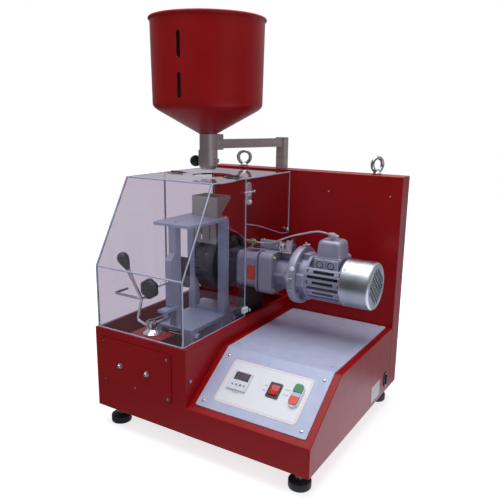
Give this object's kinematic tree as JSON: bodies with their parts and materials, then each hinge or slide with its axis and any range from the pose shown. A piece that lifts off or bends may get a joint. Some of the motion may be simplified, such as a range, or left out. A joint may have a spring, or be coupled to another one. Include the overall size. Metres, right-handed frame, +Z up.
{
  "type": "abrasion tester",
  "caption": "Bench abrasion tester: red cabinet with a wide steel wheel, a specimen trolley pulled by a weight, a grain hopper, a clear hood and a sloped control panel.",
  "frame": {"origin": "on the floor under the middle of the whole machine", "axes": "+X to the operator's right, +Y to the back of the machine, +Z up"},
  "size_m": [0.7105, 0.665, 1.185],
  "materials": {
    "red_coat": "deep red gloss powder coat, fine orange peel",
    "pale_plate": "light grey lilac brushed and clear anodised sheet",
    "stainless": "fine brushed stainless steel",
    "bright_chrome": "polished chrome plate",
    "trolley_paint": "light blue grey hammer-free enamel, semi gloss",
    "wheel_steel": "ground steel disc, fine turning marks",
    "motor_cast": "die cast aluminium, silver painted",
    "dark_steel": "dark grey painted steel",
    "clear_guard": "clear polycarbonate sheet, faint lilac tint, bright edges",
    "black_plastic": "black moulded plastic, fine satin",
    "grey_plastic": "light grey moulded plastic",
    "red_button": "orange red push button, satin",
    "green_button": "green push button, satin",
    "red_rocker": "translucent red rocker, gloss",
    "black_rubber": "black rubber, matt",
    "zinc": "bright zinc plated steel"
  },
  "bodies": {
    "cabinet": {"back_wall": "red_coat", "button_frame": "grey_plastic", "cable_gland": "grey_plastic", "chamber_tub": "red_coat", "console_housing": "red_coat", "console_top_plate": "pale_plate", "control_plate": "pale_plate", "counter_body": "grey_plastic", "dome_nuts": "bright_chrome", "eye_bolts": "zinc", "fan_cover": "bright_chrome", "foot_pads": "black_rubber", "foot_studs": "zinc", "gear_pedestal": "dark_steel", "gearbox": "motor_cast", "hinge_fixed_leaves": "zinc", "hopper": "red_coat", "hopper_arm": "stainless", "mast": "stainless", "motor_bell": "motor_cast", "motor_body": "motor_cast", "outlet_tube": "stainless", "power_inlet": "black_plastic", "rear_cover": "clear_guard", "rocker_frame": "black_plastic", "sensor": "zinc", "sensor_bracket": "zinc", "sensor_cable": "grey_plastic", "service_panel": "red_coat", "terminal_box": "motor_cast", "toggle_base": "bright_chrome", "valve_body": "stainless"},
    "hood": {"front_hood": "clear_guard", "hinge_moving_leaves": "zinc"},
    "latch": {"hood_latch": "bright_chrome"},
    "wheel": {"abrasion_wheel": "wheel_steel", "wheel_shaft": "wheel_steel"},
    "fan": {"motor_fan": "black_plastic"},
    "trolley": {"trolley_table": "trolley_paint", "trolley_posts": "trolley_paint", "trolley_top_plate": "trolley_paint", "funnel": "trolley_paint"},
    "rollers_front": {"axle_front": "zinc"},
    "rollers_rear": {"axle_rear": "zinc"},
    "pad": {"pressure_pad": "black_rubber"},
    "clamp": {"clamp_screw": "zinc", "star_knob": "black_plastic"},
    "weight": {"weight_lever": "wheel_steel", "counterweight": "wheel_steel"},
    "toggle": {"toggle_lever": "bright_chrome", "pear_knob": "black_plastic"},
    "loop": {"toggle_loop": "bright_chrome"},
    "valve": {"valve_plunger": "black_plastic"},
    "rocker": {"rocker": "red_rocker"},
    "start": {"start_button": "green_button"},
    "stop": {"stop_button": "red_button"},
    "key_1": {"counter_key_1": "black_plastic"},
    "key_2": {"counter_key_2": "black_plastic"},
    "key_3": {"counter_key_3": "black_plastic"},
    "key_4": {"counter_key_4": "black_plastic"}
  },
  "joints": [
    {"name": "hood_hinge", "type": "hinge", "parent": "cabinet", "child": "hood", "pos_m": [-0.34725, -0.0035, 0.7363], "axis": [-1, 0, 0], "range_deg": [0, 55]},
    {"name": "latch_turn", "type": "hinge", "parent": "cabinet", "child": "latch", "pos_m": [-0.02525, 0.0045, 0.687], "axis": [1, 0, 0], "range_deg": [0, 90]},
    {"name": "wheel_spin", "type": "hinge", "parent": "cabinet", "child": "wheel", "pos_m": [-0.18225, 0.0875, 0.444], "axis": [1, 0, 0], "continuous": true},
    {"name": "fan_spin", "type": "hinge", "parent": "cabinet", "child": "fan", "pos_m": [0.29275, 0.0875, 0.444], "axis": [1, 0, 0], "continuous": true},
    {"name": "trolley_slide", "type": "slide", "parent": "cabinet", "child": "trolley", "axis": [0, -1, 0], "range_m": [0, 0.025]},
    {"name": "front_roller_turn", "type": "hinge", "parent": "trolley", "child": "rollers_front", "pos_m": [-0.18225, -0.1455, 0.265], "axis": [1, 0, 0], "range_deg": [0, 92]},
    {"name": "rear_roller_turn", "type": "hinge", "parent": "trolley", "child": "rollers_rear", "pos_m": [-0.18225, 0.0605, 0.265], "axis": [1, 0, 0], "range_deg": [0, 92]},
    {"name": "pad_slide", "type": "slide", "parent": "trolley", "child": "pad", "axis": [0, 1, 0], "range_m": [0, 0.03]},
    {"name": "clamp_turn", "type": "hinge", "parent": "pad", "child": "clamp", "pos_m": [-0.18225, -0.2575, 0.436], "axis": [0, 1, 0], "range_deg": [0, 2170]},
    {"name": "weight_swing", "type": "hinge", "parent": "cabinet", "child": "weight", "pos_m": [-0.18225, 0.1105, 0.12], "axis": [1, 0, 0], "range_deg": [0, 12]},
    {"name": "toggle_swing", "type": "hinge", "parent": "cabinet", "child": "toggle", "pos_m": [-0.17125, -0.2675, 0.331], "axis": [-1, 0, 0], "range_deg": [0, 60]},
    {"name": "loop_swing", "type": "hinge", "parent": "toggle", "child": "loop", "pos_m": [-0.17125, -0.2675, 0.338], "axis": [1, 0, 0], "range_deg": [0, 60]},
    {"name": "valve_slide", "type": "slide", "parent": "cabinet", "child": "valve", "axis": [-1, 0, 0], "range_m": [0, 0.025]},
    {"name": "rocker_tilt", "type": "hinge", "parent": "cabinet", "child": "rocker", "pos_m": [0.19875, -0.21798, 0.20882], "axis": [1, 0, 0], "range_deg": [0, 16]},
    {"name": "start_press", "type": "slide", "parent": "cabinet", "child": "start", "axis": [0, 0.5653, -0.8249], "range_m": [0, 0.003], "stiffness_N_per_m": 400, "springref_m": -0.001},
    {"name": "stop_press", "type": "slide", "parent": "cabinet", "child": "stop", "axis": [0, 0.5653, -0.8249], "range_m": [0, 0.003], "stiffness_N_per_m": 400, "springref_m": -0.001},
    {"name": "key_1_press", "type": "slide", "parent": "cabinet", "child": "key_1", "axis": [0, 0.5653, -0.8249], "range_m": [0, 0.0008], "stiffness_N_per_m": 600, "springref_m": -0.0005},
    {"name": "key_2_press", "type": "slide", "parent": "cabinet", "child": "key_2", "axis": [0, 0.5653, -0.8249], "range_m": [0, 0.0008], "stiffness_N_per_m": 600, "springref_m": -0.0005},
    {"name": "key_3_press", "type": "slide", "parent": "cabinet", "child": "key_3", "axis": [0, 0.5653, -0.8249], "range_m": [0, 0.0008], "stiffness_N_per_m": 600, "springref_m": -0.0005},
    {"name": "key_4_press", "type": "slide", "parent": "cabinet", "child": "key_4", "axis": [0, 0.5653, -0.8249], "range_m": [0, 0.0008], "stiffness_N_per_m": 600, "springref_m": -0.0005}
  ],
  "couplings": [
    {"joint": "fan_spin", "follows": "wheel_spin", "ratio": 18.7},
    {"joint": "front_roller_turn", "follows": "trolley_slide", "rad_per_m": 62.5},
    {"joint": "rear_roller_turn", "follows": "trolley_slide", "rad_per_m": 62.5},
    {"joint": "clamp_turn", "follows": "pad_slide", "rad_per_m": 1256.6},
    {"joint": "weight_swing", "follows": "trolley_slide", "rad_per_m": 8.0645},
    {"joint": "loop_swing", "follows": "toggle_swing", "ratio": 1}
  ]
}
